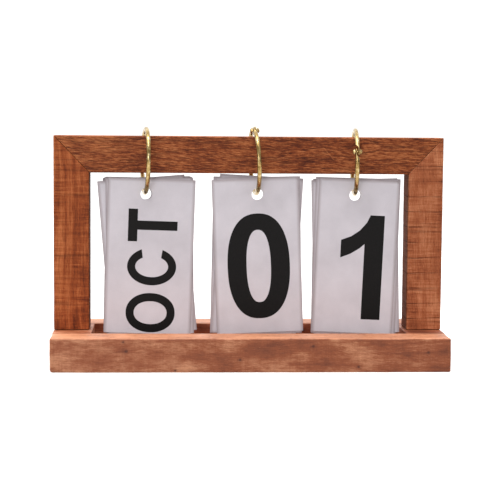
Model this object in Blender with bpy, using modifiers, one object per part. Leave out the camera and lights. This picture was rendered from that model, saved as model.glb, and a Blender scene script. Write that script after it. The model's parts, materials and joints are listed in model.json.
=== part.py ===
# Flip desk calendar: a mitred wooden frame on a grooved base, with three rings of cards hung from its rail.
# Metres, +Z up. The origin is the bottom centre of the base, X runs along it and -Y is the front.

import math

import bmesh
import bpy
from mathutils import Matrix, Vector

MM = 0.001
GAP = 0.3 * MM  # between pieces that touch

# Base: two bars, an end block at each end and a floor, round a trough for the cards
BASE_LENGTH = 280 * MM
BASE_DEPTH = 106 * MM
BASE_HEIGHT = 24 * MM
BAR_DEPTH = 26 * MM
FLOOR_THICKNESS = 6 * MM
END_OVERLAP = 2 * MM  # end block past the stile's inner face

# Frame
FRAME_TOP = 163.5 * MM
STILE_WIDTH = 25.5 * MM
RAIL_HEIGHT = 26.5 * MM
FRAME_THICKNESS = 22 * MM
EDGE_ROUND = 0.7 * MM

# Joinery
DOWEL_RADIUS = 3 * MM
DOWEL_LENGTH = 24 * MM
MITRE_DOWEL_RADIUS = 2.5 * MM
MITRE_DOWEL_LENGTH = 18 * MM
SCREW_SPACING = 12 * MM
SCREW_HEAD_RADIUS = 4 * MM
SCREW_SHANK_RADIUS = 1.9 * MM
SCREW_BOTTOM = 0.8 * MM
SCREW_TIP = 50 * MM

# Rings
RING_BORE = 21.5 * MM
WIRE_RADIUS = 1.6 * MM
RING_RADIUS = RING_BORE + WIRE_RADIUS
TONGUE_REACH = 4.5 * MM  # hinge pin to the end of the round wire
TONGUE_THICKNESS = 1.45 * MM
TONGUE_RADIUS = 2.6 * MM
RIVET_RADIUS = 0.9 * MM
RIVET_HEAD_RADIUS = 2 * MM
RIVET_HEAD_HEIGHT = 1.6 * MM
ARC_STEP = math.radians(7.5)

# Cards
CARD_LENGTH = 111.5 * MM
CARD_THICKNESS = 0.35 * MM
CARD_PITCH = CARD_THICKNESS + GAP
HOLE_RADIUS = 4.2 * MM

# One entry a stack. hinge is the angle of the ring's hinge from the top, forwards; turn is the way the fixed half
# runs from it. front and rear are the flip axes of the first card and of the rest, as (y, height over the ring's
# centre). A card is (name, tilt in degrees, hole's place right of its middle, hole's depth, width), and a positive
# tilt leans its top towards +X.
STACKS = {
    "month": {
        "x": -74.7 * MM, "yaw": 6.3, "lean": 1.0, "hinge": 255, "turn": -1, "first_y": -9 * MM,
        "front": (2 * MM, 0), "rear": (-2 * MM, -4 * MM), "hole_shift": 0.2 * MM,
        "cards": [
            ("oct", 1.7, -3.6, 11.0, 62.5), ("nov", -0.6, -2.2, 11.6, 62.5), ("dec", -4.8, 2.9, 11.7, 62.5),
            ("jan", -1.0, -1.6, 11.8, 62.5), ("feb", 0.6, -2.4, 11.4, 62.5), ("mar", -1.4, -1.0, 11.8, 62.5),
            ("apr", -0.4, -2.0, 11.6, 62.5), ("may", 1.0, -2.6, 11.6, 62.5), ("jun", -0.8, -1.4, 11.8, 62.5),
            ("jul", -1.6, -0.8, 11.8, 62.5), ("aug", 0.2, -2.0, 11.6, 62.5), ("sep", -1.0, -1.2, 11.6, 62.5),
        ],
    },
    "tens": {
        "x": 4.1 * MM, "yaw": 5.0, "lean": -2.7, "hinge": 15, "turn": 1, "first_y": -9.5 * MM,
        "front": (1 * MM, 0), "rear": (-2 * MM, -1 * MM), "hole_shift": -0.2 * MM,
        "cards": [
            ("0", -2.4, 1.4, 11.4, 62.5), ("1", -1.3, -0.6, 12.4, 60.5), ("2", 3.0, -2.5, 13.1, 60.0),
            ("3", 1.0, 0.4, 12.0, 62.5),
        ],
    },
    "ones": {
        "x": 77.0 * MM, "yaw": -2.7, "lean": 0.0, "hinge": 70, "turn": 1, "first_y": -8.5 * MM,
        "front": (0, 0), "rear": (-2 * MM, -4 * MM), "hole_shift": -0.2 * MM,
        "cards": [
            ("1", 2.3, -2.8, 11.7, 58.5), ("2", 1.3, -2.0, 12.5, 61.5), ("3", -1.6, 0.2, 11.6, 62.5),
            ("4", 0.2, -0.8, 11.4, 62.0), ("5", -0.6, -0.9, 11.2, 62.0), ("6", 0.6, -1.2, 11.4, 62.0),
            ("7", -0.2, -0.6, 11.4, 62.0), ("8", -0.8, -0.8, 11.2, 62.0), ("9", 0.4, -1.0, 11.4, 62.0),
            ("0", -0.4, -0.7, 11.2, 62.0),
        ],
    },
}

FRAME_BOTTOM = BASE_HEIGHT + GAP
RAIL_BOTTOM = FRAME_TOP - RAIL_HEIGHT
TROUGH_HALF = BASE_DEPTH / 2 - BAR_DEPTH
END_BLOCK_INNER = BASE_LENGTH / 2 - STILE_WIDTH - END_OVERLAP
STILE_MIDDLE = BASE_LENGTH / 2 - STILE_WIDTH / 2
RING_HEIGHT = FRAME_TOP - math.sqrt((RING_BORE - GAP) ** 2 - (FRAME_THICKNESS / 2) ** 2)

for old in list(bpy.data.objects):
    bpy.data.objects.remove(old)

parts = bpy.data.collections.new("flip_desk_calendar")
cutters = bpy.data.collections.new("cutters")
bpy.context.scene.collection.children.link(parts)
bpy.context.scene.collection.children.link(cutters)


def linear(channel):
    # One sRGB channel, 0 to 255, as the shader's linear value
    c = channel / 255
    return c / 12.92 if c <= 0.04045 else ((c + 0.055) / 1.055) ** 2.4


def material(name, colour, roughness, metallic=0.0):
    mat = bpy.data.materials.new(name)
    mat.use_nodes = True
    shader = mat.node_tree.nodes["Principled BSDF"]
    shader.inputs["Base Color"].default_value = (*[linear(c) for c in colour], 1)
    shader.inputs["Roughness"].default_value = roughness
    shader.inputs["Metallic"].default_value = metallic
    return mat


def add(name, mesh, mat=None, place=None, collection=parts):
    obj = bpy.data.objects.new(name, mesh)
    collection.objects.link(obj)
    if mat:
        mesh.materials.append(material(name, *mat))
    if place:
        obj.matrix_world = place
    return obj


def box_mesh(name, size):
    bm = bmesh.new()
    bmesh.ops.create_cube(bm, size=1)
    bmesh.ops.scale(bm, vec=size, verts=bm.verts)
    mesh = bpy.data.meshes.new(name)
    bm.to_mesh(mesh)
    bm.free()
    return mesh


def rod_mesh(name, radius, length, segments=24):
    # A cylinder along Z, centred
    bm = bmesh.new()
    bmesh.ops.create_cone(bm, cap_ends=True, segments=segments, radius1=radius, radius2=radius, depth=length)
    mesh = bpy.data.meshes.new(name)
    bm.to_mesh(mesh)
    bm.free()
    mesh.shade_smooth()
    mesh.set_sharp_from_angle(angle=math.radians(40))
    return mesh


def along(direction, centre):
    # Places a mesh whose length is its own Z along direction
    return Matrix.Translation(centre) @ Vector(direction).to_track_quat("Z", "Y").to_matrix().to_4x4()


def cutter(name, mesh, place):
    obj = add(name, mesh, place=place, collection=cutters)
    obj.hide_render = True
    obj.display_type = "WIRE"
    return obj


def combine(obj, other, operation="DIFFERENCE"):
    mod = obj.modifiers.new(other.name, "BOOLEAN")
    mod.operation = operation
    mod.object = other


def drill(obj, name, radius, length, direction, centre, segments=24):
    combine(obj, cutter(name, rod_mesh(name, radius, length, segments), along(direction, centre)))


def board(name, low, high, mat, edge=EDGE_ROUND):
    # A planed board between two corners, with its edges eased
    low = Vector(low)
    high = Vector(high)
    obj = add(name, box_mesh(name, high - low), mat, Matrix.Translation((low + high) / 2))
    bevel = obj.modifiers.new("eased_edges", "BEVEL")
    bevel.width = edge
    bevel.segments = 2
    return obj


def turned(name, profile, mat, place, steps=20):
    # profile runs from the top pole down the outer side to the bottom pole, as (radius, height)
    mesh = bpy.data.meshes.new(name)
    edges = [(i, i + 1) for i in range(len(profile) - 1)]
    mesh.from_pydata([(r, 0, z) for r, z in profile], edges, [])
    obj = add(name, mesh, mat, place)
    screw = obj.modifiers.new("turn", "SCREW")
    screw.steps = steps
    screw.render_steps = steps
    screw.use_merge_vertices = True
    screw.merge_threshold = 0.00001
    screw.use_smooth_shade = True
    return obj


def curve_to_mesh(name, curve):
    # The evaluated curve as a mesh with its caps welded
    obj = bpy.data.objects.new(name + "_curve", curve)
    cutters.objects.link(obj)
    bpy.context.view_layer.update()
    mesh = bpy.data.meshes.new_from_object(obj.evaluated_get(bpy.context.evaluated_depsgraph_get()))
    bpy.data.objects.remove(obj)
    bm = bmesh.new()
    bm.from_mesh(mesh)
    bmesh.ops.remove_doubles(bm, verts=bm.verts, dist=0.000001)
    bm.to_mesh(mesh)
    bm.free()
    mesh.name = name
    mesh.materials.clear()
    return mesh


def wire_mesh(name, points, radius):
    curve = bpy.data.curves.new(name, "CURVE")
    curve.dimensions = "3D"
    curve.bevel_depth = radius
    curve.bevel_resolution = 2
    curve.use_fill_caps = True
    spline = curve.splines.new("POLY")
    spline.points.add(len(points) - 1)
    for point, place in zip(spline.points, points):
        point.co = (*place, 1)
    mesh = curve_to_mesh(name, curve)
    mesh.shade_smooth()
    return mesh


def plate_mesh(name, outline, thickness):
    # A flat outline in XY, extruded half its thickness each way
    curve = bpy.data.curves.new(name, "CURVE")
    curve.dimensions = "2D"
    curve.fill_mode = "BOTH"
    curve.extrude = thickness / 2
    spline = curve.splines.new("POLY")
    spline.points.add(len(outline) - 1)
    for point, (x, y) in zip(spline.points, outline):
        point.co = (x, y, 0, 1)
    spline.use_cyclic_u = True
    return curve_to_mesh(name, curve)


def pivot(name, place, parent=None):
    empty = bpy.data.objects.new(name, None)
    empty.empty_display_size = 0.01
    parts.objects.link(empty)
    empty.matrix_world = place
    if parent:
        attach(empty, parent)
    return empty


def attach(child, parent):
    bpy.context.view_layer.update()
    child.parent = parent
    child.matrix_parent_inverse = parent.matrix_world.inverted()


# --- Wooden stand ---

RAIL_WOOD = ((150, 84, 58), 0.6)
DARK_WOOD = ((138, 74, 48), 0.6)
LIGHT_WOOD = ((168, 102, 74), 0.6)
BASE_WOOD = ((156, 92, 64), 0.55)
DOWEL_WOOD = ((205, 165, 120), 0.6)
STEEL = ((150, 150, 148), 0.35, 1.0)
BRASS = ((190, 150, 80), 0.25, 1.0)
CARD_STOCK = ((206, 201, 206), 0.7)


def build_base():
    half_length = BASE_LENGTH / 2
    half_depth = BASE_DEPTH / 2
    block_y = TROUGH_HALF - GAP
    joint_y = TROUGH_HALF - GAP / 2
    bars = {
        "front": board("base_front_bar", (-half_length, -half_depth, 0), (half_length, -TROUGH_HALF, BASE_HEIGHT),
                       BASE_WOOD, 1 * MM),
        "rear": board("base_rear_bar", (-half_length, TROUGH_HALF, 0), (half_length, half_depth, BASE_HEIGHT),
                      BASE_WOOD, 1 * MM),
    }
    floor_x = END_BLOCK_INNER - GAP
    board("trough_floor", (-floor_x, -block_y, 0), (floor_x, block_y, FLOOR_THICKNESS), DARK_WOOD)
    for side, sign in (("left", -1), ("right", 1)):
        near = sign * END_BLOCK_INNER
        far = sign * half_length
        block = board(f"base_end_{side}", (min(near, far), -block_y, 0), (max(near, far), block_y, BASE_HEIGHT),
                      BASE_WOOD, 0.4 * MM)
        for place, way in (("front", -1), ("rear", 1)):
            centre = (sign * STILE_MIDDLE, way * joint_y, BASE_HEIGHT / 2)
            name = f"base_dowel_{place}_{side}"
            add(name, rod_mesh(name, DOWEL_RADIUS, DOWEL_LENGTH), DOWEL_WOOD, along((0, 1, 0), centre))
            for piece, hole in ((bars[place], "bar"), (block, "block")):
                drill(piece, f"{name}_{hole}_hole", DOWEL_RADIUS + GAP, DOWEL_LENGTH + 2 * GAP, (0, 1, 0), centre)
            screw_x, screw_y = sign * STILE_MIDDLE, way * SCREW_SPACING / 2
            drill(block, f"screw_hole_{place}_{side}", SCREW_SHANK_RADIUS + GAP, 3 * BASE_HEIGHT, (0, 0, 1),
                  (screw_x, screw_y, BASE_HEIGHT / 2))
            recess = 2 * (SCREW_BOTTOM + 3 * MM + GAP)
            drill(block, f"screw_recess_{place}_{side}", SCREW_HEAD_RADIUS + GAP, recess, (0, 0, 1),
                  (screw_x, screw_y, 0))


def build_screws():
    # Countersunk screws up through the end blocks into the stiles
    profile = [
        (0, SCREW_TIP), (SCREW_SHANK_RADIUS, SCREW_TIP - 5 * MM), (SCREW_SHANK_RADIUS, SCREW_BOTTOM + 3 * MM),
        (SCREW_HEAD_RADIUS, SCREW_BOTTOM + 0.6 * MM), (SCREW_HEAD_RADIUS, SCREW_BOTTOM), (0, SCREW_BOTTOM),
    ]
    for side, sign in (("left", -1), ("right", 1)):
        for place, way in (("front", -1), ("rear", 1)):
            foot = (sign * STILE_MIDDLE, way * SCREW_SPACING / 2, 0)
            turned(f"stile_screw_{place}_{side}", profile, STEEL, Matrix.Translation(foot))


def build_frame():
    half_length = BASE_LENGTH / 2
    half_thick = FRAME_THICKNESS / 2
    rail = board("top_rail", (-half_length, -half_thick, RAIL_BOTTOM), (half_length, half_thick, FRAME_TOP), RAIL_WOOD)
    mitre = math.atan2(RAIL_HEIGHT, STILE_WIDTH)
    block = 4 * RAIL_HEIGHT
    for side, sign, wood in (("left", -1, DARK_WOOD), ("right", 1, LIGHT_WOOD)):
        inner = sign * (half_length - STILE_WIDTH)
        outer = sign * half_length
        stile = board(f"stile_{side}", (min(inner, outer), -half_thick, FRAME_BOTTOM),
                      (max(inner, outer), half_thick, FRAME_TOP), wood)
        # The mitre runs from the outer top corner to the inner corner, half the gap on each side of it
        middle = Vector((sign * STILE_MIDDLE, 0, (RAIL_BOTTOM + FRAME_TOP) / 2))
        into_rail = Vector((-sign * math.sin(mitre), 0, math.cos(mitre)))
        for piece, way in ((stile, into_rail), (rail, -into_rail)):
            name = f"mitre_{piece.name}_{side}"
            centre = middle + way * (block / 2 - GAP / 2)
            combine(piece, cutter(name, box_mesh(name, (block, block, block)), along(way, centre)))
            name = f"mitre_hole_{piece.name}_{side}"
            drill(piece, name, MITRE_DOWEL_RADIUS + GAP, MITRE_DOWEL_LENGTH + 2 * GAP, into_rail, middle)
        name = f"mitre_dowel_{side}"
        add(name, rod_mesh(name, MITRE_DOWEL_RADIUS, MITRE_DOWEL_LENGTH), DOWEL_WOOD, along(into_rail, middle))
        for place, way in (("front", -1), ("rear", 1)):
            drill(stile, f"stile_pilot_{place}_{side}", SCREW_SHANK_RADIUS + GAP, 2 * (SCREW_TIP + GAP), (0, 0, 1),
                  (sign * STILE_MIDDLE, way * SCREW_SPACING / 2, 0))


# --- Rings ---


def ring_point(degrees, radius=RING_RADIUS):
    # A point of the ring in its own frame: X is the ring's axis, and the angle runs from the top forwards
    angle = math.radians(degrees)
    return Vector((0, -radius * math.sin(angle), radius * math.cos(angle)))


def ring_place(stack):
    turn = Matrix.Rotation(math.radians(stack["yaw"]), 4, "Z") @ Matrix.Rotation(math.radians(stack["lean"]), 4, "Y")
    return Matrix.Translation((stack["x"], 0, RING_HEIGHT)) @ turn


def half_ring(name, stack, way, layer):
    # The round wire from its flattened tongue to the free end. way is +1 or -1 round the ring, layer the
    # tongue's side of the hinge along the ring's axis. The mesh is in the ring's own frame.
    hinge = stack["hinge"]
    start = math.degrees(TONGUE_REACH / RING_RADIUS)
    end = 180 - math.degrees(GAP / 2 / RING_RADIUS)
    count = round(math.radians(end - start) / ARC_STEP)
    points = [ring_point(hinge + way * (start + (end - start) * i / count)) for i in range(count + 1)]
    obj = add(name, wire_mesh(name, points, WIRE_RADIUS), BRASS)
    pin = ring_point(hinge)
    along_tongue = points[0] - pin
    reach = along_tongue.length + 2 * MM
    # The tongue's outline: a round end about the pin, narrowing to the wire
    outline = []
    for i in range(13):
        angle = math.pi / 2 + math.pi * i / 12
        outline.append((TONGUE_RADIUS * math.cos(angle), TONGUE_RADIUS * math.sin(angle)))
    outline += [(reach, -WIRE_RADIUS * 0.8), (reach, WIRE_RADIUS * 0.8)]
    lengthwise = along_tongue.normalized()
    across = Vector((1, 0, 0)).cross(lengthwise)
    frame = Matrix.Identity(4)
    for column, axis in enumerate((lengthwise, across, Vector((1, 0, 0)))):
        for row in range(3):
            frame[row][column] = axis[row]
    shift = Vector((layer * (TONGUE_THICKNESS + GAP) / 2, 0, 0))
    tongue = cutter(name + "_tongue", plate_mesh(name + "_tongue", outline, TONGUE_THICKNESS),
                    Matrix.Translation(pin + shift) @ frame)
    combine(obj, tongue, "UNION")
    pin_hole = cutter(name + "_pin_hole", rod_mesh(name + "_pin_hole", RIVET_RADIUS + GAP, 10 * MM, 16),
                      along((1, 0, 0), pin))
    combine(obj, pin_hole)
    place = ring_place(stack)
    obj.matrix_world = place
    tongue.matrix_world = place @ tongue.matrix_world
    pin_hole.matrix_world = place @ pin_hole.matrix_world
    return obj


def build_ring(label, stack):
    slide = pivot(f"{label}_ring_slide", ring_place(stack))
    turn = stack["turn"]
    fixed = half_ring(f"{label}_ring_fixed_half", stack, turn, -1)
    gate = half_ring(f"{label}_ring_gate_half", stack, -turn, 1)
    head = TONGUE_THICKNESS + 1.5 * GAP
    half = [
        (0, head + RIVET_HEAD_HEIGHT), (RIVET_HEAD_RADIUS * 0.55, head + RIVET_HEAD_HEIGHT * 0.85),
        (RIVET_HEAD_RADIUS * 0.9, head + RIVET_HEAD_HEIGHT * 0.45), (RIVET_HEAD_RADIUS, head), (RIVET_RADIUS, head),
    ]
    profile = half + [(r, -z) for r, z in reversed(half)]
    pin = ring_place(stack) @ Matrix.Translation(ring_point(stack["hinge"])) @ Matrix.Rotation(math.pi / 2, 4, "Y")
    rivet = turned(f"{label}_ring_rivet", profile, BRASS, pin, 16)
    hinge = pivot(f"{label}_gate_hinge", pin, slide)
    attach(fixed, slide)
    attach(rivet, slide)
    attach(gate, hinge)
    return slide


# --- Cards ---


def wire_x(stack, y):
    # Where the ring's wire crosses a card that hangs at y
    turn = ring_place(stack)
    degrees = 180 + math.degrees(math.asin(y / RING_RADIUS))
    return (turn @ ring_point(degrees)).x


def build_cards(label, stack, slide):
    hole_z = RING_HEIGHT - math.sqrt(RING_BORE**2 - stack["first_y"] ** 2) - HOLE_RADIUS + GAP
    pivots = {}
    for place in ("front", "rear"):
        y, rise = stack[place]
        pivots[place] = pivot(f"{label}_{place}_flip", Matrix.Translation((stack["x"], y, RING_HEIGHT + rise)), slide)
    for i, (mark, tilt, off_centre, depth, width) in enumerate(stack["cards"]):
        name = f"{label}_card_{mark}"
        y = stack["first_y"] + i * CARD_PITCH
        hole = Vector((wire_x(stack, y) + stack["hole_shift"], y, hole_z))
        leaning = Matrix.Translation(hole) @ Matrix.Rotation(math.radians(tilt), 4, "Y")
        middle = Vector((-off_centre * MM, 0, depth * MM - CARD_LENGTH / 2))
        size = (width * MM, CARD_THICKNESS, CARD_LENGTH)
        card = add(name, box_mesh(name, size), CARD_STOCK, leaning @ Matrix.Translation(middle))
        drill(card, name + "_hole", HOLE_RADIUS, 0.004, (0, 1, 0), hole)
        attach(card, pivots["front" if i == 0 else "rear"])


build_base()
build_screws()
build_frame()
for label, stack in STACKS.items():
    build_cards(label, stack, build_ring(label, stack))
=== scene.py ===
# Flip desk calendar: wooden stand, three book rings and their printed cards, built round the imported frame.
# Metres, +Z up, -Y is the front.

import json
import math

import bmesh
import bpy
from mathutils import Matrix, Vector, noise


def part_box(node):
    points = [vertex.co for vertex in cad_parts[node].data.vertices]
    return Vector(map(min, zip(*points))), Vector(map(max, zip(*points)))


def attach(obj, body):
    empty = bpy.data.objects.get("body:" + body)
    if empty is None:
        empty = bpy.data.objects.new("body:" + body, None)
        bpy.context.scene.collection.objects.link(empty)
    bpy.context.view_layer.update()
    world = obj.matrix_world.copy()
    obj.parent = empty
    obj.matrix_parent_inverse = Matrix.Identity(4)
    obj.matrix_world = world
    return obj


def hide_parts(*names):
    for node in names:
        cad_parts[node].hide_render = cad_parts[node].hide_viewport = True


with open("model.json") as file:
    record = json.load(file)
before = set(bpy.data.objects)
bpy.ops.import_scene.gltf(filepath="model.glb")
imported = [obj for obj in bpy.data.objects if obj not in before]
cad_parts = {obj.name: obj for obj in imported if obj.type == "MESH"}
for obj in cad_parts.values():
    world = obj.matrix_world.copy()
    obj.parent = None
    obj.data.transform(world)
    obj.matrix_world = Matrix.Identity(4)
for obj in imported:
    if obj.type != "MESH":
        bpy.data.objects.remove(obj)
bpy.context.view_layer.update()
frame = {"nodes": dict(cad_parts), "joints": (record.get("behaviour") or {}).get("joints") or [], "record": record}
scene = bpy.context.scene
mm = 0.001


def linear(colour):
    # sRGB, 0 to 255, to the shader's linear values
    parts = [c / 255 for c in colour]
    return tuple(c / 12.92 if c <= 0.04045 else ((c + 0.055) / 1.055) ** 2.4 for c in parts)


class Field:
    # A node's output, so that sums over a surface can be written as expressions
    def __init__(self, graph, socket):
        self.graph = graph
        self.socket = socket

    def sum(self, operation, *values):
        return self.graph.node("ShaderNodeMath", {"operation": operation}, dict(enumerate(values)))

    def __add__(self, other):
        return self.sum("ADD", self, other)

    def __sub__(self, other):
        return self.sum("SUBTRACT", self, other)

    def __rsub__(self, other):
        return self.sum("SUBTRACT", other, self)

    def __mul__(self, other):
        return self.sum("MULTIPLY", self, other)

    def __truediv__(self, other):
        return self.sum("DIVIDE", self, other)

    def __rtruediv__(self, other):
        return self.sum("DIVIDE", other, self)

    def __pow__(self, other):
        return self.sum("POWER", self, other)

    def __lt__(self, other):
        return self.sum("LESS_THAN", self, other)

    __radd__ = __add__
    __rmul__ = __mul__

    def size(self):
        return self.sum("ABSOLUTE", self)

    def root(self):
        return self.sum("SQRT", self)

    def step(self, low, high):
        # 0 up to low, 1 from high on, smooth between; high may be under low
        kind = {"interpolation_type": "SMOOTHSTEP"}
        values = {"Value": self, "From Min": low, "From Max": high}
        return self.graph.node("ShaderNodeMapRange", kind, values)


class Graph:
    # A node tree that is filled by calls to node()
    def __init__(self, tree):
        self.tree = tree

    def node(self, kind, settings=None, values=None, output=0):
        made = self.tree.nodes.new(kind)
        for key, value in (settings or {}).items():
            if key == "stops":
                self.fillRamp(made.color_ramp, value)
            else:
                setattr(made, key, value)
        for key, value in (values or {}).items():
            if isinstance(value, Field):
                self.tree.links.new(value.socket, made.inputs[key])
            else:
                made.inputs[key].default_value = value
        return Field(self, made.outputs[output])

    def fillRamp(self, ramp, stops):
        while len(ramp.elements) < len(stops):
            ramp.elements.new(0.5)
        for element, (place, colour) in zip(ramp.elements, stops):
            element.position = place
            element.color = (*colour, 1)

    def vector(self, x, y, z):
        return self.node("ShaderNodeCombineXYZ", None, {"X": x, "Y": y, "Z": z})

    def parts(self, vector):
        outputs = self.node("ShaderNodeSeparateXYZ", None, {0: vector}).socket.node.outputs
        return [Field(self, outputs[n]) for n in range(3)]

    def speckle(self, place, scale=1.0, detail=2.0, roughness=0.5):
        values = {"Vector": place, "Scale": scale, "Detail": detail, "Roughness": roughness}
        return self.node("ShaderNodeTexNoise", None, values)


class Finish(Graph):
    def __init__(self, name):
        self.material = bpy.data.materials.new(name)
        self.material.use_nodes = True
        super().__init__(self.material.node_tree)
        self.shader = self.tree.nodes["Principled BSDF"]

    def set(self, **values):
        for key, value in values.items():
            socket = self.shader.inputs[key.replace("_", " ")]
            if isinstance(value, Field):
                self.tree.links.new(value.socket, socket)
            else:
                socket.default_value = value
        return self

    def place(self):
        # Where a point of the piece is, in millimetres
        where = self.node("ShaderNodeTexCoord", output="Object")
        scaled = self.node("ShaderNodeVectorMath", {"operation": "SCALE"}, {0: where, "Scale": 1000})
        return [scaled] + self.parts(scaled)

    def mix(self, share, first, second, blend="MIX"):
        settings = {"data_type": "RGBA", "blend_type": blend}
        first = first if isinstance(first, Field) else (*first, 1)
        second = second if isinstance(second, Field) else (*second, 1)
        return self.node("ShaderNodeMix", settings, {0: share, 6: first, 7: second}, 2)

    def ramp(self, value, stops):
        return self.node("ShaderNodeValToRGB", {"stops": stops}, {0: value})

    def bump(self, height, depth, strength=1.0):
        return self.node("ShaderNodeBump", None, {"Height": height, "Distance": depth, "Strength": strength})


def link(name, mesh):
    piece = bpy.data.objects.new(name, mesh)
    scene.collection.objects.link(piece)
    return piece


def grow(name, tree, sizes):
    # Runs a Geometry Nodes tree with these sizes and keeps the result as a plain mesh
    piece = link(name, bpy.data.meshes.new(name))
    maker = piece.modifiers.new("maker", "NODES")
    maker.node_group = tree
    for item in tree.interface.items_tree:
        if item.item_type == "SOCKET" and item.in_out == "INPUT" and item.name in sizes:
            maker[item.identifier] = sizes[item.name]
    bpy.context.view_layer.update()
    mesh = bpy.data.meshes.new_from_object(piece.evaluated_get(bpy.context.evaluated_depsgraph_get()))
    piece.modifiers.clear()
    mesh.name = name
    piece.data = mesh
    return piece


def geometryTree(name, inputs):
    # An empty tree with named inputs, and its inputs as fields
    tree = bpy.data.node_groups.new(name, "GeometryNodeTree")
    kinds = {float: "NodeSocketFloat", int: "NodeSocketInt"}
    for label, start in inputs.items():
        socket = tree.interface.new_socket(name=label, in_out="INPUT", socket_type=kinds[type(start)])
        socket.default_value = start
    tree.interface.new_socket(name="Finish", in_out="INPUT", socket_type="NodeSocketMaterial")
    tree.interface.new_socket(name="Geometry", in_out="OUTPUT", socket_type="NodeSocketGeometry")
    graph = Graph(tree)
    entry = tree.nodes.new("NodeGroupInput")
    return graph, {label: Field(graph, entry.outputs[label]) for label in [*inputs, "Finish"]}


def endTree(graph, shape, material):
    whole = graph.node("GeometryNodeRealizeInstances", None, {"Geometry": shape})
    coated = graph.node("GeometryNodeSetMaterial", None, {"Geometry": whole, "Material": material})
    leave = graph.tree.nodes.new("NodeGroupOutput")
    graph.tree.links.new(coated.socket, leave.inputs[0])


# The camera, and soft light from above with a paler room behind than in front

camera = {
    "place": (-0.05907, -1.06740, 0.17269), "yaw": 0.0564, "pitch": 0.0854, "roll": 0.0079, "lens": 106.28,
}


def makeCamera():
    data = bpy.data.cameras.new("camera")
    data.lens = camera["lens"]
    data.sensor_width = 36
    yaw, pitch, roll = camera["yaw"], camera["pitch"], camera["roll"]
    ahead = Vector((math.sin(yaw) * math.cos(pitch), math.cos(yaw) * math.cos(pitch), -math.sin(pitch)))
    level = Vector((math.cos(yaw), -math.sin(yaw), 0))
    rise = level.cross(ahead)
    right = level * math.cos(roll) + rise * math.sin(roll)
    up = rise * math.cos(roll) - level * math.sin(roll)
    eye = link("camera", data)
    turn = Matrix((right, up, -ahead)).transposed().to_4x4()
    eye.matrix_world = Matrix.Translation(camera["place"]) @ turn
    scene.camera = eye


room = {
    "floorSize": 12.0, "floorColour": (214, 213, 212), "floorGlow": 0.5,
    "ahead": 0.36, "behind": 1.35, "above": 1.2, "backdrop": 1.2,
    "lamps": {
        "topLamp": {"place": (-0.15, -0.45, 1.9), "size": 1.4, "power": 36.0},
        "frontLamp": {"place": (-0.8, -2.3, 0.7), "size": 0.8, "power": 14.0},
    },
}


def makeRoom():
    mesh = bpy.data.meshes.new("floor")
    half = room["floorSize"] / 2
    mesh.from_pydata([(-half, -half, 0), (half, -half, 0), (half, half, 0), (-half, half, 0)], [], [(0, 1, 2, 3)])
    floor = link("floor", mesh)
    colour = (*linear(room["floorColour"]), 1)
    paint = Finish("floorPaint").set(Base_Color=colour, Roughness=0.9, Specular_IOR_Level=0.0,
                                     Emission_Color=(1, 1, 1, 1), Emission_Strength=room["floorGlow"])
    floor.data.materials.append(paint.material)
    floor.visible_diffuse = False  # the pale floor stays out of the light on the cards
    for name, lamp in room["lamps"].items():
        data = bpy.data.lights.new(name, "AREA")
        data.size = lamp["size"]
        data.energy = lamp["power"]
        light = link(name, data)
        light.location = lamp["place"]
        light.rotation_euler = (Vector((0, 0, 0.08)) - light.location).to_track_quat("-Z", "Y").to_euler()
    world = bpy.data.worlds.new("room")
    scene.world = world
    world.use_nodes = True
    graph = Graph(world.node_tree)
    way = graph.node("ShaderNodeTexCoord", output="Generated")
    depth, rise = graph.parts(way)[1:]
    back = depth.step(-0.7, 0.6)
    high = rise.step(-0.1, 0.9)
    level = back * (room["behind"] - room["ahead"]) + room["ahead"]
    level = level + high * (room["above"] - room["ahead"]) * 0.5
    seen = graph.node("ShaderNodeLightPath", output="Is Camera Ray")
    level = level + seen * (room["backdrop"] - level)
    sky = world.node_tree.nodes["Background"]
    sky.inputs["Color"].default_value = (1, 1, 1, 1)
    graph.tree.links.new(level.socket, sky.inputs["Strength"])
    scene.view_settings.view_transform = "Standard"
    scene.view_settings.look = "None"


makeCamera()
makeRoom()
print("camera and room ready")

# Wood: long fibres along each board, stain blotches, pores, saw marks across the grain and knots

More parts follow.
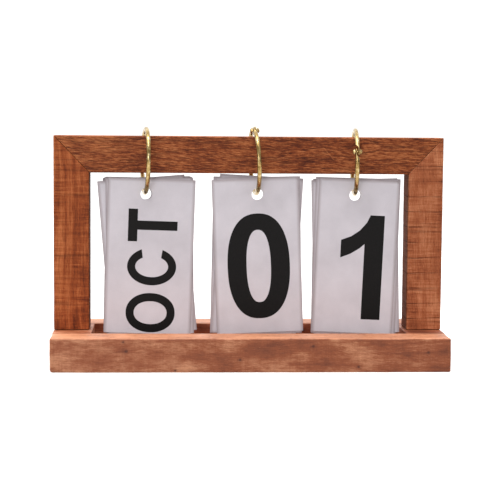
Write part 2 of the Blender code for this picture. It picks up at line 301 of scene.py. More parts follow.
woods = {
    "railWood": {
        "along": "x", "dark": (72, 27, 13), "mid": (134, 66, 32), "light": (190, 116, 70), "wave": 9.0,
        "figure": 0.3, "fibre": 1.5, "blotch": 0.5, "pores": 0.7, "saw": 0.15, "vein": 0.55, "fleck": 0.4,
        "sawGap": 0, "shift": -0.07, "gloss": 0.15, "seed": 3.0, "knots": [],
        "cracks": [(79, 152, 95, 154.4, 0.5), (-84, 160, -62, 164, 0.4)],
        "scratches": [(52, 157, 61, 146.5, 0.5), (46.5, 165.5, 52, 161, 0.45)],
    },
    "darkWood": {
        "along": "z", "dark": (78, 28, 13), "mid": (146, 70, 32), "light": (198, 116, 68), "wave": 5.0,
        "figure": 0.55, "fibre": 0.45, "blotch": 0.6, "pores": 0.4, "saw": 0.9, "vein": 0.25, "fleck": 0.2,
        "sawGap": 0, "shift": 0.0, "gloss": 0.15, "seed": 11.0, "knots": [],
    },
    "lightWood": {
        "along": "z", "dark": (98, 45, 24), "mid": (160, 88, 54), "light": (208, 138, 98), "wave": 3.0,
        "figure": 0.3, "fibre": 0.45, "blotch": 0.45, "pores": 0.7, "saw": 0.9, "vein": 0.1, "fleck": 0.25,
        "sawGap": 11.0, "shift": 0.0, "gloss": 0.15, "seed": 23.0, "knots": [],
    },
    "baseWood": {
        "along": "x", "dark": (90, 39, 19), "mid": (146, 77, 44), "light": (226, 160, 120), "wave": 12.0,
        "figure": 0.22, "fibre": 0.4, "blotch": 0.6, "pores": 0.25, "saw": 0.14, "vein": 0.1, "fleck": 0.15,
        "sawGap": 0, "shift": -0.09, "gloss": 0.4, "seed": 37.0,
        "knots": [(-87, 15, 1.3, 14), (-89, 21.5, 0.8, 3), (-8, 9, 1.0, 3), (-53, 1.5, 0.8, 2),
                  (43, 18.5, 1.1, 3), (75, 4, 1.0, 3), (124, 14, 1.1, 4)],
    },
}


# How fine each pattern is along and across the board, per millimetre, then its detail and roughness
grain = {
    "sway": (0.016, 0.03, 2, 0.5), "figure": (0.012, 0.32, 4, 0.6), "fibre": (0.16, 1.7, 4, 0.8),
    "blotch": (0.035, 0.07, 3, 0.55), "vein": (0.02, 0.42, 3, 0.55), "pores": (0.22, 2.1, 1, 0.5),
    "fine": (0.62, 0.035, 4, 0.75), "cut": (0.42, 0.012, 1, 0.5), "fleck": (0.3, 1.9, 1, 0.5),
}
grainTilt = {"fibre": 0.06, "fleck": 0.1}  # how much these run aslant


def woodFinish(name):
    look = woods[name]
    f = Finish(name)
    whole, x, y, z = f.place()
    u, v = (x, z) if look["along"] == "x" else (z, x)
    seed = look["seed"]

    def streaks(kind, across):
        # Runs along the board; its pattern shifts with depth by the board's seed
        fineAlong, fineAcross, detail, roughness = grain[kind]
        place = f.vector(u * fineAlong, across * fineAcross, y * fineAcross + seed)
        return f.speckle(place, 1, detail, roughness)

    def strokes(kind, across):
        # Runs across the board, as a saw does, and shifts along it by the seed
        fineAlong, fineAcross, detail, roughness = grain[kind]
        place = f.vector(u * fineAlong + seed, across * fineAcross, y * fineAcross)
        return f.speckle(place, 1, detail, roughness)

    sway = streaks("sway", v) - 0.5
    w = v + sway * look["wave"]
    figure = streaks("figure", w)
    fibre = streaks("fibre", w + u * grainTilt["fibre"])
    blotch = streaks("blotch", v)
    grit = f.speckle(whole, 0.9, 2, 0.6)
    vein = (streaks("vein", w) - 0.5).size().step(0.03, 0.0)
    pores = streaks("pores", w).step(0.66, 0.74)
    fine = strokes("fine", v)
    cut = strokes("cut", v).step(0.62, 0.72)
    fleck = strokes("fleck", w + u * grainTilt["fleck"]).step(0.64, 0.76)
    patch = f.speckle(f.vector(u * 0.05, v * 0.09, seed), 1, 1).step(0.35, 0.65)
    tone = (figure - 0.5) * look["figure"] + (fibre - 0.5) * look["fibre"] + (blotch - 0.5) * look["blotch"]
    tone = tone * 1.5 + (grit - 0.5) * 0.12 + (fine - 0.5) * look["saw"] * 1.1 * (patch * 0.6 + 0.4) + 0.5
    # The tone darkens steadily from left to right along the board, by its shift
    tone = tone + x * look["shift"] / 140
    dark, mid, light = (linear(look[key]) for key in ("dark", "mid", "light"))
    colour = f.ramp(tone, [(0.2, dark), (0.5, mid), (0.85, light)])
    colour = f.mix(fleck * look["fleck"], colour, light)
    scar = pores * look["pores"] * 0.6 + cut * look["saw"] * 0.35 + vein * look["vein"]
    if look["sawGap"]:
        # Deeper kerfs, one for each stroke of the saw
        stroke = u / look["sawGap"] + sway * 0.3
        stroke = stroke.sum("FRACT", stroke)
        scar = scar + (stroke - 0.5).size().step(0.45, 0.49) * (patch * 0.5 + 0.2)
    dim = tuple(c * 0.35 for c in dark)
    colour = f.mix(scar.sum("MINIMUM", scar, 0.85), colour, dim)
    for place, height, radius, tail in look["knots"]:
        aside = (u - place) / radius
        stretch = aside.step(-tail, 0) * (aside < 0)
        core = (aside * aside + ((v - height) / radius) ** 2).root().step(1.3, 0.3)
        trail = (((v - height) - aside * 0.12) / radius).size().step(0.7, 0.1) * stretch * 0.45
        halo = ((aside * 0.45) ** 2 + ((v - height) / radius * 0.6) ** 2).root().step(1.5, 0.3)
        colour = f.mix(halo * 0.3 + trail, colour, dark)
        colour = f.mix(core * 0.8, colour, tuple(c * 0.55 for c in dark))
    for key, share, paint in (("cracks", 0.85, dim), ("scratches", 0.4, light)):
        for x1, z1, x2, z2, width in look.get(key, []):
            run, fall = x2 - x1, z2 - z1
            length = math.hypot(run, fall)
            along = ((x - x1) * run + (z - z1) * fall) / length ** 2
            aside = ((z - z1) * run - (x - x1) * fall) / length + (grit - 0.5) * 1.2
            mark = aside.size().step(width, width * 0.2) * (0.5 - along).size().step(0.52, 0.3)
            colour = f.mix(mark * share, colour, paint)
    # Painted shade: the stiles' inner faces are darkened towards the dim colour
    stain = f.node("ShaderNodeAttribute", {"attribute_name": "stain"}, output="Fac")
    colour = f.mix(stain * 0.75, colour, dim)
    # Lighter where the edges are rubbed, and painted light from above on the base's top faces
    wornAndLit = f.node("ShaderNodeAttribute", {"attribute_name": "wear"}, output="Fac")
    rubAndTopLight = f.speckle(whole, 0.35, 2) * wornAndLit
    colour = f.mix(rubAndTopLight.step(0.2, 0.75) * 0.45, colour, linear(look["light"]))
    rough = fibre * 0.2 + 0.42 + scar * 0.2 + stain * 0.4
    height = fibre * 0.35 + fine * look["saw"] + grit * 0.15 - scar
    f.set(Base_Color=colour, Roughness=rough, Specular_IOR_Level=look["gloss"],
          Normal=f.bump(height, 0.00025, 0.7))
    return f.material


def boardLines(low, high, step, radius):
    # Grid lines between two sides, closer together where the edges are rounded
    span = high - low
    ease = [0, 0.25 * radius, 0.6 * radius, radius, 1.6 * radius]
    inner = span - 2 * ease[-1]
    count = max(1, round(inner / step))
    middle = [ease[-1] + inner * i / count for i in range(count + 1)]
    return [low + d for d in ease[:-1] + middle] + [high - d for d in reversed(ease[:-1])]


boards = {
    "top_rail": {"round": (0.4, 0.9, 0.9), "step": (1.2, 1.4, 1.1), "kerf": 0.02, "sway": 0.05,
                 "slot": "rail_wood", "mitreGap": -0.12},
    "stile_left": {"round": (0.9, 0.9, 0.4), "step": (1.1, 1.4, 0.7), "kerf": 0.09, "sway": 0.10,
                   "slot": "dark_wood"},
    "stile_right": {"round": (1.1, 1.1, 0.4), "step": (1.1, 1.4, 0.7), "kerf": 0.09, "sway": 0.08,
                    "slot": "light_wood"},
    "base_front_bar": {"round": (1.2, 1.2, 1.2), "step": (1.3, 1.4, 1.2), "kerf": 0.02, "sway": 0.12,
                       "slot": "base_wood"},
    "base_rear_bar": {"round": (1.2, 1.2, 1.2), "step": (1.3, 1.4, 1.2), "kerf": 0.02, "sway": 0.12,
                      "slot": "base_wood"},
}

# How far rubbing reaches in from an edge (mm), how much painted light from above lightens the base's tops, and the
# lip's rounder corner
edges = {"wearReach": 1.6, "topRub": 1.4, "cornerFrom": 0.9, "cornerExtra": 1.3, "roundVary": 0.55}
railLow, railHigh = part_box("top_rail")
stileLow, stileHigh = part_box("stile_right")


def mitreShift(point, name, low, high):
    # Slopes the ends of the rail and the tops of the stiles to the mitre
    outer = high.x if name == "top_rail" else max(abs(low.x), abs(high.x))
    slope = (railHigh.z - railLow.z) / (stileHigh.x - stileLow.x)
    if name == "top_rail":
        end = outer - (railHigh.z - point.z) / slope - boards["top_rail"]["mitreGap"] * mm
        return Vector((point.x * end / outer, point.y, point.z))
    if name.startswith("stile"):
        top = railHigh.z - (outer - abs(point.x)) * slope - boards["top_rail"]["mitreGap"] * mm
        rise = (point.z - low.z) / (high.z - low.z)
        return Vector((point.x, point.y, low.z + rise * (top - low.z)))
    return point


def makeBoard(name, material):
    look = boards[name]
    low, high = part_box(name)
    middle = (low + high) / 2
    half = (high - low) / 2
    lines = [boardLines(-half[i], half[i], look["step"][i] * mm, look["round"][i] * mm) for i in range(3)]
    last = [len(line) - 1 for line in lines]
    points, wear, stain, index = [], [], [], {}
    seed = Vector((woods[material.name]["seed"], 0, 0))
    longWay = 0 if half.x > half.z else 2

    def corner(i, j, k):
        key = (i, j, k)
        if key in index:
            return index[key]
        flat = Vector((lines[0][i], lines[1][j], lines[2][k]))
        where = (flat + middle) * 1000
        vary = 1 + edges["roundVary"] * noise.noise(where * 0.11 + seed)
        if name == "base_front_bar":
            # The lip's lower left corner is knocked rounder than the rest
            toEnd = max(0.0, -flat.x / half.x - edges["cornerFrom"]) / (1 - edges["cornerFrom"])
            toFoot = max(0.0, -flat.z / half.z)
            vary *= 1 + edges["cornerExtra"] * toEnd * toFoot
        eased = Vector([look["round"][a] * mm * vary for a in range(3)])
        core = Vector([max(-half[a] + eased[a], min(half[a] - eased[a], flat[a])) for a in range(3)])
        out = Vector([(flat[a] - core[a]) / eased[a] for a in range(3)])
        near = sorted(min(half[a] - abs(flat[a]), 4 * mm) for a in range(3))[1]
        if out.length > 0:
            out.normalize()
        place = core + Vector([out[a] * eased[a] for a in range(3)])
        along = where[longWay]
        groove = max(0.0, noise.noise(Vector((along * 0.42, where[2 - longWay] * 0.01, 0)) + seed)) ** 2
        ripple = noise.noise(Vector((along * 1.1, 0, 0)) + seed)
        dip = look["kerf"] * (0.5 + 0.5 * ripple + 1.6 * groove)
        dip += look["sway"] * (0.5 + 0.5 * noise.noise(where * 0.045 + seed))
        place = place - out * dip * mm * min(1.0, out.length)
        points.append(mitreShift(place + middle, name, low, high))
        # The base's top faces are painted lighter all over, as painted light from above
        topLit = edges["topRub"] if name.startswith("base") and flat.z == half.z else 0.0
        wear.append(max(topLit, 1 - near / (edges["wearReach"] * mm)))
        # Painted shade darkens the inner face of each stile
        fromInner = abs(flat.x + math.copysign(half.x, middle.x))
        inside = name.startswith("stile") and fromInner < look["round"][0] * 0.6 * mm
        stain.append(1.0 if inside else 0.0)
        index[key] = len(points) - 1
        return index[key]

    faces = []
    for axis in range(3):
        a, b = [n for n in range(3) if n != axis]
        for side in (0, last[axis]):
            for p in range(last[a]):
                for q in range(last[b]):
                    ring = []
                    for da, db in ((0, 0), (1, 0), (1, 1), (0, 1)):
                        key = [0, 0, 0]
                        key[axis], key[a], key[b] = side, p + da, q + db
                        ring.append(corner(*key))
                    # The turn that faces outwards depends on the axis and the side
                    faces.append(ring if (side > 0) == (axis != 1) else ring[::-1])
    mesh = bpy.data.meshes.new(name)
    mesh.from_pydata(points, [], faces)
    mesh.attributes.new("wear", "FLOAT", "POINT").data.foreach_set("value", wear)
    mesh.attributes.new("stain", "FLOAT", "POINT").data.foreach_set("value", stain)
    mesh.materials.append(material)
    mesh.shade_smooth()
    piece = link(name.replace("_", "") + "Wood", mesh)
    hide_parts(name)
    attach(piece, "stand")
    return piece


woodOf = {"rail_wood": "railWood", "dark_wood": "darkWood", "light_wood": "lightWood", "base_wood": "baseWood"}
finishes = {slot: woodFinish(name) for slot, name in woodOf.items()}
for name, look in boards.items():
    makeBoard(name, finishes[look["slot"]])
print("wooden boards made:", len(boards))

# The joinery inside the boards

dowelFinish = Finish("dowelWood")
whole, x, y, z = dowelFinish.place()
grain = dowelFinish.speckle(dowelFinish.vector(x * 1.5, y * 0.1, z * 1.5), 1, 3)
tones = [(0.2, linear((176, 132, 88))), (0.8, linear((222, 188, 146)))]
dowelFinish.set(Base_Color=dowelFinish.ramp(grain, tones), Roughness=0.6,
                Normal=dowelFinish.bump(grain, 0.0001))

steelFinish = Finish("zincSteel")
whole = steelFinish.place()[0]
spangle = steelFinish.speckle(whole, 1.6, 2)
tones = [(0.2, linear((120, 120, 118))), (0.8, linear((178, 178, 176)))]
steelFinish.set(Base_Color=steelFinish.ramp(spangle, tones), Metallic=1.0, Roughness=spangle * 0.2 + 0.25,
                Normal=steelFinish.bump(spangle, 0.00003))

# Brass: tarnish and mottling that vary at random over the metal, with a faint bump

brassFinish = Finish("polishedBrass")
whole = brassFinish.place()[0]
tarnish = brassFinish.speckle(whole, 0.35, 3, 0.6)
mottle = brassFinish.speckle(whole, 1.4, 2, 0.6)
tones = [(0.3, linear((104, 82, 44))), (0.5, linear((160, 134, 84))), (0.72, linear((206, 190, 148)))]
brassFinish.set(Base_Color=brassFinish.ramp(tarnish * 0.75 + mottle * 0.25, tones), Metallic=1.0,
                Roughness=tarnish * 0.22 + 0.1, Normal=brassFinish.bump(mottle, 0.00001))

finishes.update(dowel_wood=dowelFinish.material, steel=steelFinish.material, brass=brassFinish.material)
for part in frame["record"]["subparts"]:
    node = frame["nodes"][part["node"]]
    if part["material_slot"] in finishes:
        node.data.materials.clear()
        node.data.materials.append(finishes[part["material_slot"]])
print("finishes made:", len(finishes))

# Rings: round wire that flattens into a tongue at the hinge, one tree for all six halves

rings = {
    "radius": 23.1, "wire": 1.6, "tongueThickness": 1.45, "tongueRadius": 2.6, "gap": 0.3, "reach": 5.0,
    "blend": 2.6, "snap": 0.06,
    "steps": 180, "sides": 24,
}
stacks = {
    "month": {"hinge": 255, "turn": -1},
    "tens": {"hinge": 15, "turn": 1},
    "ones": {"hinge": 70, "turn": 1},
}


def ringTree():
    inputs = {"Radius": 0.0231, "Wire": 0.0016, "Start": 0.0, "Sweep": 3.0, "Tongue": 0.0026, "Flat": 0.5,
              "Reach": 0.0045, "Blend": 0.003, "Layer": 1.0, "Spacing": 0.0009, "Steps": 120, "Sides": 24}
    graph, given = geometryTree("ringHalf", inputs)
    arc = graph.node("GeometryNodeCurveArc", {"mode": "RADIUS"}, {
        "Resolution": given["Steps"], "Radius": given["Radius"], "Start Angle": 0.0, "Sweep Angle": given["Sweep"],
    })
    rim = graph.node("GeometryNodeCurvePrimitiveCircle", {"mode": "RADIUS"},
                     {"Resolution": given["Sides"], "Radius": given["Wire"]})
    tube = graph.node("GeometryNodeCurveToMesh", None, {"Curve": arc, "Profile Curve": rim, "Fill Caps": True})
    # Each point's place round the ring, out from its centre line and along its axis
    where = graph.node("GeometryNodeInputPosition")
    x, y, z = graph.parts(where)
    turn = y.sum("ARCTAN2", y, x)
    sweep = turn + (turn < -0.1) * 2 * math.pi
    far = (x * x + y * y).root()
    travel = sweep * given["Radius"] - given["Tongue"]
    wireShare = travel.step(given["Reach"] - given["Blend"], given["Reach"])
    before = travel.sum("MINIMUM", travel, 0.0) / given["Tongue"]
    tip = 1 - before * before
    tip = tip.sum("MAXIMUM", tip, 0.03).root()
    widen = given["Tongue"] / given["Wire"] * tip
    widen = widen + wireShare * (1 - widen)
    thin = given["Flat"] + wireShare * (1 - given["Flat"])
    out = given["Radius"] + (far - given["Radius"]) * widen
    side = z * thin + given["Layer"] * given["Spacing"] * (1 - wireShare)
    angle = sweep - given["Tongue"] / given["Radius"]
    turned = angle + given["Start"]
    moved = graph.vector(out * turned.sum("COSINE", turned), out * turned.sum("SINE", turned), side)
    shaped = graph.node("GeometryNodeSetPosition", None, {"Geometry": tube, "Position": moved})
    smooth = graph.node("GeometryNodeSetShadeSmooth", None, {"Geometry": shaped})
    endTree(graph, smooth, given["Finish"])
    return graph.tree


def ringPlace(label):
    # The ring's own frame from its CAD halves: X is its axis, and angles run from the top forwards
    joint = next(j for j in frame["joints"] if j["name"] == label + "_gate_hinge")
    axis = Vector(joint["axis"]) * stacks[label]["turn"]
    top = Vector((0, 0, 1)) - axis * axis.z
    top.normalize()
    back = top.cross(axis)
    turn = Matrix((axis, back, top)).transposed()
    pin = Vector(joint["pos_m"])
    angle = math.radians(stacks[label]["hinge"])
    radius = rings["radius"] * mm
    centre = pin - turn @ Vector((0, -radius * math.sin(angle), radius * math.cos(angle)))
    return Matrix.Translation(centre) @ turn.to_4x4(), radius


def makeRings():
    tree = ringTree()
    reach = (rings["gap"] + rings["tongueThickness"]) / 2
    for label, stack in stacks.items():
        place, radius = ringPlace(label)
        tongueAngle = rings["tongueRadius"] * mm / radius
        gapAngle = rings["snap"] * mm / radius
        for half, way, layer in (("fixed", 1, -1), ("gate", -1, 1)):
            piece = grow(f"{label}{half.capitalize()}Wire", tree, {
                "Radius": radius, "Wire": rings["wire"] * mm, "Start": 0.0,
                "Sweep": math.pi + tongueAngle - gapAngle,
                "Tongue": rings["tongueRadius"] * mm,
                "Flat": rings["tongueThickness"] / (2 * rings["wire"]), "Reach": rings["reach"] * mm,
                "Blend": rings["blend"] * mm, "Layer": float(layer), "Spacing": reach * mm,
                "Steps": rings["steps"], "Sides": rings["sides"], "Finish": finishes["brass"],
            })
            # The tree's arc lies in XY from +X: turned here to start at the hinge and run the right way
            way *= stack["turn"]
            start = math.radians(stack["hinge"])
            flip = Matrix.Scale(way, 4, (0, 1, 0)) if way < 0 else Matrix.Identity(4)
            stand = Matrix(((0, 0, 1, 0), (0, -1, 0, 0), (1, 0, 0, 0), (0, 0, 0, 1)))
            piece.data.transform(place @ Matrix.Rotation(start, 4, "X") @ stand @ flip)
            shape = bmesh.new()
            shape.from_mesh(piece.data)
            bmesh.ops.remove_doubles(shape, verts=shape.verts, dist=0.000001)
            bmesh.ops.recalc_face_normals(shape, faces=shape.faces)
            shape.to_mesh(piece.data)
            shape.free()
            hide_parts(f"{label}_ring_{half}_half")
            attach(piece, f"{label}_ring" if half == "fixed" else f"{label}_ring_gate")


makeRings()
print("ring halves made: 6")

# Card stock: faint fibres and clouding, with edges painted darker as painted shade of the lines between the
# stacked cards

paperFinish = Finish("cardStock")
whole = paperFinish.place()[0]
cloud = paperFinish.speckle(whole, 0.06, 3)
pulp = paperFinish.speckle(whole, 1.6, 3, 0.6)
edgeShadeMask = paperFinish.node("ShaderNodeAttribute", {"attribute_name": "wear"}, output="Fac")
tones = [(0.3, linear((202, 196, 202))), (0.7, linear((217, 211, 217)))]
paper = paperFinish.ramp(cloud * 0.75 + pulp * 0.25, tones)
# Painted shade: darker towards the card's edges, for the shadow lines between the stacked cards
paintedEdgeShade = (paperFinish.speckle(whole, 0.12, 2) * 0.5 + 0.5) * edgeShadeMask
paper = paperFinish.mix(paintedEdgeShade * 0.8, paper, linear((132, 112, 112)))
paperFinish.set(Base_Color=paper, Roughness=cloud * 0.1 + 0.6, Specular_IOR_Level=0.25,
                Normal=paperFinish.bump(pulp, 0.00003))

inkFinish = Finish("printInk")
whole = inkFinish.place()[0]
speck = inkFinish.speckle(whole, 0.9, 3, 0.65)
tones = [(0.25, linear((12, 11, 11))), (0.75, linear((24, 22, 22)))]
inkFinish.set(Base_Color=inkFinish.ramp(speck, tones), Roughness=speck * 0.15 + 0.55,
              Specular_IOR_Level=0.12, Normal=inkFinish.bump(speck, 0.00002))

cards = {
    "thickness": 0.35, "holeSides": 40, "bottom": 21.2, "soilWidth": 0.5, "soilTop": 0.7,
    "halfWidth": 31, "bendTop": 134, "bendLength": 112,
    "bow": {"month": 0.7, "tens": -0.6, "ones": 0.8}, "curl": {"month": -1.2, "tens": 0.7, "ones": -0.8},
    "inkRise": 0.02, "inkThickness": 0.03, "inkCell": 5.0,
}
# The print, in millimetres from the card's hole: digits in a box, months running up the card
prints = {
    "capHeight": 35.3, "digitLow": (-22.3, -89.8), "digitHigh": (22.3, -13.8), "digitWeight": 2.2,
    "nudge": {"0": 0.6, "1": 4.2}, "monthMiddle": -55.2, "monthFoot": 19.4, "monthLongest": 90.0,
    "monthWeight": 1.7, "letterGaps": (5.6, 5.4, 0), "gridWide": (-35, 35), "gridTall": (-105, -5),
    "gridShift": 0.37,
}


def cardFrame(node):
    # The hole's centre, the card's own right and up, and its sides in millimetres from the hole
    points = [v.co for v in node.data.vertices]
    ends = {(a, b): max(points, key=lambda p: a * p.x + b * p.z) for a in (-1, 1) for b in (-1, 1)}
    up = ends[1, 1] + ends[-1, 1] - ends[1, -1] - ends[-1, -1]
    up = Vector((up.x, 0, up.z)).normalized()
    right = Vector((up.z, 0, -up.x))
    rim = [p for p in points if all((p - e).length > 3 * mm for e in ends.values())]
    hole = sum(rim, Vector()) / len(rim)
    sides = {
        "left": (ends[-1, 1] - hole).dot(right) / mm, "right": (ends[1, 1] - hole).dot(right) / mm,
        "top": (ends[-1, 1] - hole).dot(up) / mm, "bottom": (ends[1, -1] - hole).dot(up) / mm,
    }
    radius = sum(Vector((p.x - hole.x, 0, p.z - hole.z)).length for p in rim) / len(rim)
    turn = Matrix((right, up, Vector((0, -1, 0)))).transposed().to_4x4()
    return Matrix.Translation(hole) @ turn, sides, radius / mm


def bend(mesh, label):
    # The whole stack shares one bow and curl, so its cards keep their spacing
    middle = stackMiddle[label]
    for v in mesh.vertices:
        across = (v.co.x - middle) / (cards["halfWidth"] * mm)
        down = min(1.0, max(0.0, (cards["bendTop"] * mm - v.co.z) / (cards["bendLength"] * mm)))
        bow = cards["bow"][label] * across * across * (0.25 + 0.75 * down)
        curl = cards["curl"][label] * (down ** 3) * (0.6 + 0.4 * across)
        v.co.y += (bow + curl) * mm


def cardTree():
    inputs = {"Left": -0.031, "Right": 0.031, "Top": 0.011, "Bottom": -0.1, "Thickness": 0.00035,
              "Hole Radius": 0.0042, "Columns": 26, "Rows": 46, "Hole Sides": 40}
    graph, given = geometryTree("cardSheet", inputs)
    tree = graph.tree
    wide = given["Right"] - given["Left"]
    tall = given["Top"] - given["Bottom"]
    grid = graph.node("GeometryNodeMeshGrid", None, {
        "Size X": wide, "Size Y": tall, "Vertices X": given["Columns"], "Vertices Y": given["Rows"]})
    middle = graph.vector((given["Right"] + given["Left"]) / 2, (given["Top"] + given["Bottom"]) / 2,
                          given["Thickness"] / 2)
    front = graph.node("GeometryNodeTransform", None, {"Geometry": grid, "Translation": middle})
    lifted = graph.node("GeometryNodeExtrudeMesh", None, {
        "Mesh": graph.node("GeometryNodeFlipFaces", None, {"Mesh": front}),
        "Offset": graph.vector(0, 0, -1), "Offset Scale": given["Thickness"], "Individual": False})
    joined = graph.tree.nodes.new("GeometryNodeJoinGeometry")
    tree.links.new(lifted.socket, joined.inputs[0])
    tree.links.new(front.socket, joined.inputs[0])
    merged = graph.node("GeometryNodeMergeByDistance", None,
                        {"Geometry": Field(graph, joined.outputs[0]), "Distance": 0.000001})
    punch = graph.node("GeometryNodeMeshCylinder", None, {
        "Vertices": given["Hole Sides"], "Radius": given["Hole Radius"], "Depth": 0.004})
    punched = graph.node("GeometryNodeMeshBoolean", {"operation": "DIFFERENCE", "solver": "EXACT"},
                         {"Mesh 1": merged, "Mesh 2": punch})
    triangles = graph.node("GeometryNodeTriangulate", None, {"Mesh": punched})
    endTree(graph, triangles, given["Finish"])
    return tree


def shadeEdges(mesh, sides):
    # Painted shade fades in from the card's edges; the mesh is still in the card's own frame
    wear = []
    for v in mesh.vertices:
        u, t = v.co.x / mm, v.co.y / mm
        side = min(u - sides["left"], sides["right"] - u) / cards["soilWidth"]
        top = (sides["top"] - t) / cards["soilTop"]
        wear.append(max(0.0, 1 - min(side, top)))
    mesh.attributes.new("wear", "FLOAT", "POINT").data.foreach_set("value", wear)


def makeCard(tree, label, node):
    place, sides, hole = cardFrame(frame["nodes"][node])
    fall = place.translation.z / mm - cards["bottom"]
    if node != firstCards[label]:
        sides["bottom"] = -fall
    piece = grow(node.replace("_", "") + "Sheet", tree, {
        "Left": sides["left"] * mm, "Right": sides["right"] * mm, "Top": sides["top"] * mm,
        "Bottom": sides["bottom"] * mm, "Thickness": cards["thickness"] * mm, "Hole Radius": hole * mm,
        "Hole Sides": cards["holeSides"], "Finish": paperFinish.material,
    })
    shadeEdges(piece.data, sides)
    piece.data.transform(place)
    bend(piece.data, label)
    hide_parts(node)
    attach(piece, node)
    return place, sides


def arc(middle, reach, first, last, steps, power=2.0):
    # Points on a rounded outline; power over 2 squares it up
    points = []
    for i in range(steps):
        angle = math.radians(first + (last - first) * i / (steps - 1))
        c, d = math.cos(angle), math.sin(angle)
        points.append((middle[0] + reach[0] * math.copysign(abs(c) ** (2 / power), c),
                       middle[1] + reach[1] * math.copysign(abs(d) ** (2 / power), d)))
    return points


def hoop(size, stroke, power):
    middle = (size[0] / 2, size[1] / 2)
    inner = (middle[0] - stroke[0], middle[1] - stroke[1])
    return [arc(middle, middle, 0, 356.25, 96, power), arc(middle, inner, 0, 356.25, 96, power)]


# Each letter runs right and up from its own lower left corner
letters = {
    "O": {"width": 28.4, "outlines": hoop((28.4, prints["capHeight"]), (5.9, 5.8), 2.1)},
    "C": {"width": 26.0, "outlines": [arc((13.5, 17.6), (13.5, 17.6), 25, 335, 60)
                                      + arc((13.5, 17.6), (7.6, 11.8), 326, 34, 60)]},
    "T": {"width": 23.4, "outlines": [[(0, prints["capHeight"]), (0, 28.6), (8.4, 28.6), (8.4, 0), (15, 0),
                                       (15, 28.6), (23.4, 28.6), (23.4, prints["capHeight"])]]},
}
zero = hoop((45.0, 76.0), (13.7, 11.8), 2.35)
one = [[(20.6, 75.8), (18.2, 70.4), (13.4, 64.6), (7.4, 60.2), (0, 57.2), (0, 44.4), (7.2, 47.4), (13.4, 51.4),
        (17.2, 54.8), (17.2, 0), (31.0, 0), (31.0, 75.8)]]


def flatMesh(outlines):
    # Filled outlines as a thin slab, in millimetres
    curve = bpy.data.curves.new("mark", "CURVE")
    curve.dimensions = "2D"
    curve.fill_mode = "BOTH"
    curve.extrude = cards["inkThickness"] / 2
    for outline in outlines:
        spline = curve.splines.new("POLY")
        spline.points.add(len(outline) - 1)
        for point, (s, t) in zip(spline.points, outline):
            point.co = (s, t, 0, 1)
        spline.use_cyclic_u = True
    return meshOf(curve)


def typeMesh(text, weight):
    # Letters in the plain built-in face, thickened
    curve = bpy.data.curves.new("mark", "FONT")
    curve.body = text
    curve.size = 100
    curve.resolution_u = 6
    curve.offset = weight
    curve.space_character = 1.12
    curve.extrude = cards["inkThickness"] / 2
    return meshOf(curve)


def meshOf(curve):
    holder = link("marking", curve)
    bpy.context.view_layer.update()
    mesh = bpy.data.meshes.new_from_object(holder.evaluated_get(bpy.context.evaluated_depsgraph_get()))
    bpy.data.objects.remove(holder)
    return mesh


def fit(mesh, low, high):
    # Stretches the mesh to fill a box
    for a in range(2):
        values = [v.co[a] for v in mesh.vertices]
        start, span = min(values), max(values) - min(values)
        for v in mesh.vertices:
            v.co[a] = low[a] + (v.co[a] - start) * (high[a] - low[a]) / span


def wordMesh(word):
    # A month, ready to run up the card: its letters' feet are on the right
    start = 0
    outlines = []
    for letter, gap in zip(word, prints["letterGaps"]):
        glyph = letters[letter]
        outlines += [[(s + start, t) for s, t in outline] for outline in glyph["outlines"]]
        start += glyph["width"] + gap
    return flatMesh(outlines)


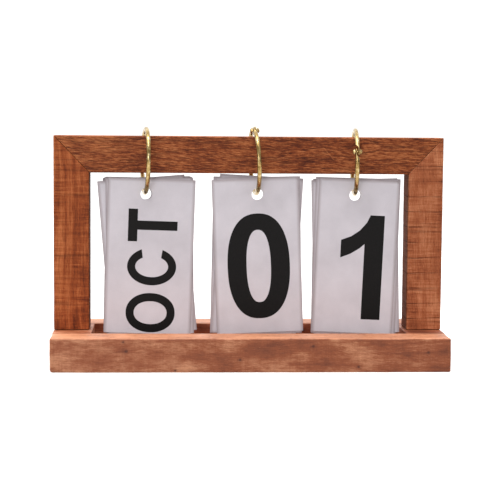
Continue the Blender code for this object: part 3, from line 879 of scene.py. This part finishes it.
def inkCard(label, node, place, sides):
    mark = node.split("_")[-1]
    middle = (sides["left"] + sides["right"]) / 2
    if label == "month":
        word = mark.upper()
        own = all(letter in letters for letter in word)
        mesh = wordMesh(word) if own else typeMesh(word, prints["monthWeight"])
        if not own:
            ratio = prints["capHeight"] / max(v.co.y for v in mesh.vertices)
            length = min(prints["monthLongest"], max(v.co.x for v in mesh.vertices) * ratio)
            fit(mesh, (0, 0), (length, prints["capHeight"]))
        length = max(v.co.x for v in mesh.vertices)
        start = prints["monthMiddle"] - length / 2
        right = middle + prints["monthFoot"]
        mesh.transform(Matrix(((0, -1, 0, right), (1, 0, 0, start), (0, 0, 1, 0), (0, 0, 0, 1))))
    elif mark in ("0", "1"):
        mesh = flatMesh(zero if mark == "0" else one)
        wide = max(v.co.x for v in mesh.vertices)
        left = middle - wide / 2 + prints["nudge"][mark]
        mesh.transform(Matrix.Translation((left, prints["digitLow"][1], 0)))
    else:
        mesh = typeMesh(mark, prints["digitWeight"])
        low, high = prints["digitLow"], prints["digitHigh"]
        fit(mesh, (middle + low[0], low[1]), (middle + high[0], high[1]))
    shape = bmesh.new()
    shape.from_mesh(mesh)
    bmesh.ops.remove_doubles(shape, verts=shape.verts, dist=0.0005)
    step = cards["inkCell"]
    # Cut into a grid, so that the print can follow the card's bend
    for axis, (first, last) in enumerate((prints["gridWide"], prints["gridTall"])):
        for i in range(int((last - first) / step) + 1):
            at, along = [0, 0, 0], [0, 0, 0]
            at[axis], along[axis] = first + i * step + prints["gridShift"], 1
            parts = shape.verts[:] + shape.edges[:] + shape.faces[:]
            bmesh.ops.bisect_plane(shape, geom=parts, plane_co=at, plane_no=along)
    bmesh.ops.triangulate(shape, faces=shape.faces)
    bmesh.ops.recalc_face_normals(shape, faces=shape.faces)
    shape.to_mesh(mesh)
    shape.free()
    rise = cards["thickness"] / 2 + cards["inkRise"]
    mesh.transform(Matrix.Translation((0, 0, rise)))
    mesh.transform(place @ Matrix.Scale(mm, 4))
    bend(mesh, label)
    mesh.materials.clear()
    mesh.materials.append(inkFinish.material)
    mesh.name = node.replace("_", "") + "Print"
    piece = link(mesh.name, mesh)
    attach(piece, node)


sheetTree = cardTree()
cardNodes = {label: sorted((n for n in frame["nodes"] if n.startswith(label + "_card_")),
                           key=lambda n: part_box(n)[0].y) for label in stacks}
firstCards = {label: nodes[0] for label, nodes in cardNodes.items()}
stackMiddle = {label: cardFrame(frame["nodes"][nodes[0]])[0].translation.x
               for label, nodes in cardNodes.items()}
for label, nodes in cardNodes.items():
    for node in nodes:
        place, sides = makeCard(sheetTree, label, node)
        inkCard(label, node, place, sides)
    print(label, "cards printed:", len(nodes))
